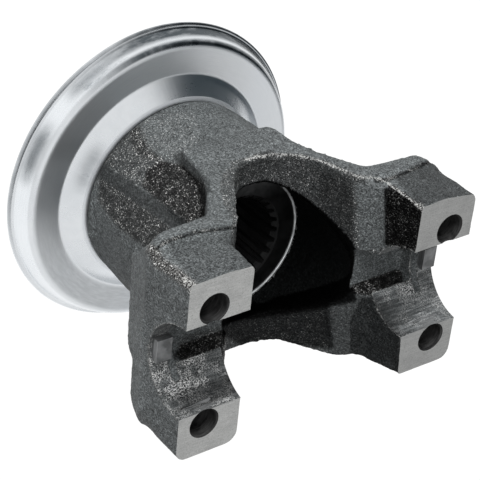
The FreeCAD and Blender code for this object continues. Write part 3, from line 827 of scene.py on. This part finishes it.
def bored_metal():
    m = Mat("bored_steel")
    rings = m.noise(1.0, 2, 0.5, m.mapping((300, 300, 5200)))
    cloud = m.noise(240, 3, 0.6)
    sep = m.t.nodes.new("ShaderNodeSeparateXYZ")
    m.link(m.tc, sep.inputs[0])
    X, Y, Z = sep.outputs
    r = m.math("SQRT", m.math("ADD", m.math("MULTIPLY", X, X), m.math("MULTIPLY", Y, Y)))
    # Painted shade darkens the nut seat and the bore, less on the seat's upper side as painted light; a painted
    # highlight runs along the seat's edge, strongest on one side.
    in_seat = m.math("MULTIPLY", m.math("LESS_THAN", r, 0.01985), m.math("GREATER_THAN", Z, 0.004))
    on_edge = m.math("MULTIPLY", m.math("MULTIPLY", m.math("GREATER_THAN", r, 0.02001), m.math("LESS_THAN", r, 0.02028)), m.math("GREATER_THAN", Z, 0.05))
    side = m.math("ADD", 0.45, m.math("MULTIPLY", m.math("SUBTRACT", X, Y), 28.0), True)
    lit = m.math("MULTIPLY", m.math("SUBTRACT", Y, 0.0115), 120.0, True)
    shade = m.math("SUBTRACT", 1.0, m.math("MULTIPLY", in_seat, m.math("SUBTRACT", 0.94, m.math("MULTIPLY", lit, 0.35))))
    shade = m.math("ADD", shade, m.math("MULTIPLY", on_edge, m.math("MULTIPLY", side, 1.8)))
    tone = m.ramp(cloud, [(0.3, (0.07, 0.072, 0.074)), (0.7, (0.15, 0.155, 0.156))])
    tone = m.mix(m.ramp(rings, [(0.4, 0.0), (0.65, 0.7)]), tone, (0.24, 0.245, 0.25))
    shaded = m.t.nodes.new("ShaderNodeVectorMath")
    shaded.operation = "SCALE"
    m.link(tone, shaded.inputs[0])
    m.link(shade, shaded.inputs["Scale"])
    n1 = m.bump(rings, 0.00003, 0.8)
    m.set(Base_Color=shaded.outputs[0], Roughness=m.ramp(cloud, [(0.3, 0.36), (0.7, 0.50)]), Metallic=0.85, Specular_IOR_Level=0.1, Normal=n1)
    return m.m


def hole_metal():
    """Drilled walls: painted dark for the shade inside the holes, with fine tool rings."""
    m = Mat("drilled_hole")
    rings = m.noise(1.0, 2, 0.5, m.mapping((200, 200, 3600)))
    cloud = m.noise(420, 3, 0.6)
    tone = m.ramp(cloud, [(0.35, (0.0035, 0.0035, 0.0035)), (0.65, (0.012, 0.012, 0.012))])
    tone = m.mix(m.ramp(rings, [(0.45, 0.0), (0.70, 0.5)]), tone, (0.030, 0.030, 0.030))
    n1 = m.bump(rings, 0.00004, 0.8)
    m.set(Base_Color=tone, Roughness=m.ramp(cloud, [(0.3, 0.50), (0.7, 0.62)]), Metallic=0.0, Specular_IOR_Level=0.08, Normal=n1)
    return m.m


def zinc():
    m = Mat("zinc_plate")
    sep = m.t.nodes.new("ShaderNodeSeparateXYZ")
    m.link(m.tc, sep.inputs[0])
    X, Y, Z = sep.outputs
    r = m.math("SQRT", m.math("ADD", m.math("MULTIPLY", X, X), m.math("MULTIPLY", Y, Y)))

    def around(k, across):
        """Noise that follows the turned shape: k features round it, across per metre over it."""
        comb = m.t.nodes.new("ShaderNodeCombineXYZ")
        m.link(m.math("MULTIPLY", m.math("DIVIDE", X, r), k), comb.inputs[0])
        m.link(m.math("MULTIPLY", m.math("DIVIDE", Y, r), k), comb.inputs[1])
        m.link(m.math("MULTIPLY", m.math("ADD", r, Z), across), comb.inputs[2])
        return m.noise(1.0, 3, 0.6, comb.outputs[0])

    brush = around(9.0, 4200.0)
    smear = around(10.0, 1300.0)
    rays = around(34.0, 40.0)
    cloud = m.noise(45, 3, 0.5)
    fine = m.noise(1400, 3, 0.6)
    stain_and_painted_reflection = m.attr("stain_and_painted_reflection")
    tone = m.ramp(cloud, [(0.3, (0.72, 0.75, 0.78)), (0.7, (0.82, 0.845, 0.865))])
    tone = m.mix(m.ramp(brush, [(0.40, 0.0), (0.70, 0.35)]), tone, (0.68, 0.71, 0.74))
    speck = m.noise(1700, 2, 0.6)
    # Painted dark reflections, partly stains, in the patches and rings that the attributes mark, broken up by the smear
    # and speck noise.
    dark = m.math("SUBTRACT", m.math("ADD", m.math("MULTIPLY", stain_and_painted_reflection, 2.0), 0.22), m.math("ADD", m.math("MULTIPLY", smear, 2.3), m.math("MULTIPLY", speck, 0.5)), True)
    tone = m.mix(m.math("MULTIPLY", dark, 0.85), tone, (0.12, 0.145, 0.165))
    ring = m.math("MULTIPLY", m.attr("painted_darkening"), m.ramp(smear, [(0.30, 0.75), (0.62, 1.1)]), True)
    tone = m.mix(ring, tone, (0.085, 0.098, 0.108))
    ro = m.math("ADD", m.ramp(cloud, [(0.3, 0.20), (0.7, 0.29)]), m.math("MULTIPLY", fine, 0.06))
    flat = m.math("MULTIPLY", m.math("GREATER_THAN", r, 0.0336), m.math("LESS_THAN", r, 0.0425))
    ro = m.math("ADD", ro, m.math("MULTIPLY", flat, 0.13))
    ro = m.math("ADD", ro, m.math("MULTIPLY", m.math("LESS_THAN", r, 0.0290), 0.30))
    n1 = m.bump(brush, 0.000015, 0.6)
    n2 = m.bump(fine, 0.000012, 0.5, n1)
    n3 = m.bump(rays, 0.00006, 0.25, n2)
    m.set(Base_Color=tone, Roughness=ro, Metallic=1.0, Normal=n3)
    return m.m


M_CAST, M_PAD, M_SADDLE, M_BORED, M_HOLE = cast_iron(), pad_metal(), saddle_metal(), bored_metal(), hole_metal()
M_DEEP = cast_iron("cast_iron_deep", 0.02)
for k, mat in enumerate((M_CAST, M_PAD, M_SADDLE, M_BORED, M_HOLE, M_DEEP)):
    thin.materials[k] = mat
sm.materials.append(zinc())

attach(yoke, "root")
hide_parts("yoke")
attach(shield, "root")
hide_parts("dust_shield")

# ------------------------------------------------------------------ stage
bpy.ops.mesh.primitive_plane_add(size=3.0, location=(0, 0, -0.0003))
floor = bpy.context.object
floor.name = "floor"
fm = bpy.data.materials.new("floor_white")
fm.use_nodes = True
fb = fm.node_tree.nodes["Principled BSDF"]
fb.inputs["Base Color"].default_value = (0.06, 0.06, 0.06, 1)
fb.inputs["Roughness"].default_value = 0.9
fb.inputs["Emission Color"].default_value = (1, 1, 1, 1)
fb.inputs["Emission Strength"].default_value = 0.94
floor.data.materials.append(fm)

world = bpy.data.worlds.new("studio")
bpy.context.scene.world = world
world.use_nodes = True
wt = world.node_tree
bg = wt.nodes["Background"]
tc = wt.nodes.new("ShaderNodeTexCoord")


def world_lobe(direction, inner, outer):
    """1 within inner degrees of the direction, 0 beyond outer degrees."""
    n = wt.nodes.new("ShaderNodeVectorMath")
    n.operation = "DOT_PRODUCT"
    n.inputs[1].default_value = Vector(direction).normalized()
    wt.links.new(tc.outputs["Generated"], n.inputs[0])
    mr = wt.nodes.new("ShaderNodeMapRange")
    mr.interpolation_type = "SMOOTHSTEP"
    mr.inputs["From Min"].default_value = math.cos(math.radians(outer))
    mr.inputs["From Max"].default_value = math.cos(math.radians(inner))
    wt.links.new(n.outputs["Value"], mr.inputs["Value"])
    return mr.outputs[0]


def world_mix(fac, a, level):
    n = wt.nodes.new("ShaderNodeMix")
    n.data_type = "RGBA"
    wt.links.new(fac, n.inputs[0])
    if isinstance(a, float):
        n.inputs[6].default_value = (a, a, a, 1)
    else:
        wt.links.new(a, n.inputs[6])
    n.inputs[7].default_value = (*level, 1) if isinstance(level, tuple) else (level, level, level * 1.02, 1)
    return n.outputs[2]


sky = world_mix(world_lobe((0.985, -0.05, 0.12), 8, 26), 0.90, 0.40)
sky = world_mix(world_lobe((0.90, 0.33, 0.30), 26, 52), sky, (0.014, 0.026, 0.034))
wt.links.new(sky, bg.inputs[0])
bg.inputs[1].default_value = 1.0


def area(name, loc, aim, size, power, color=(1, 1, 1)):
    ld = bpy.data.lights.new(name, "AREA")
    ld.shape = "RECTANGLE"
    ld.size, ld.size_y = size
    ld.energy = power
    ld.color = color
    ob = bpy.data.objects.new(name, ld)
    bpy.context.scene.collection.objects.link(ob)
    ob.location = loc
    ob.rotation_euler = (Vector(aim) - Vector(loc)).to_track_quat("-Z", "Y").to_euler()
    return ob


# Camera axes in the object's frame.
RIGHT = Vector((0.81272544, 0.0837649, 0.57659413))
UP = Vector((0.25744298, 0.8361424, -0.48434388))
BACK = Vector((-0.52268582, 0.54207871, 0.65798952))
MIDDLE = Vector((0, 0, 0.05))
key = area("key", (-0.14, 0.62, 0.27), MIDDLE, (0.40, 0.22), 12.0)
key.visible_glossy = False
fill = area("fill", (-0.36, 0.30, 0.60), MIDDLE, (0.35, 0.35), 4.0)
fill.visible_glossy = False

# ----------------------------------------------------------------- camera
cam_data = bpy.data.cameras.new("camera")
cam_data.sensor_width = 36.0
cam_data.lens = 1712.29365 / 480.0 * 36.0
cam_data.clip_start = 0.01
cam = bpy.data.objects.new("camera", cam_data)
bpy.context.scene.collection.objects.link(cam)
rot = Matrix((RIGHT, UP, BACK)).transposed()
b = 17.4625 / MM
R = Matrix(((0.81272544, 0.0837649, 0.57659413), (-0.25744298, -0.8361424, 0.48434388), (0.52268582, -0.54207871, -0.65798952)))
t = Vector((1.30652862, 1.22109135, 24.92863026))
C = -(R.transposed() @ t) * b + Vector((0, 0, PAD_Z / MM))
cam.matrix_world = Matrix.Translation(C) @ rot.to_4x4()
bpy.context.scene.camera = cam

bpy.context.scene.view_settings.view_transform = "Standard"
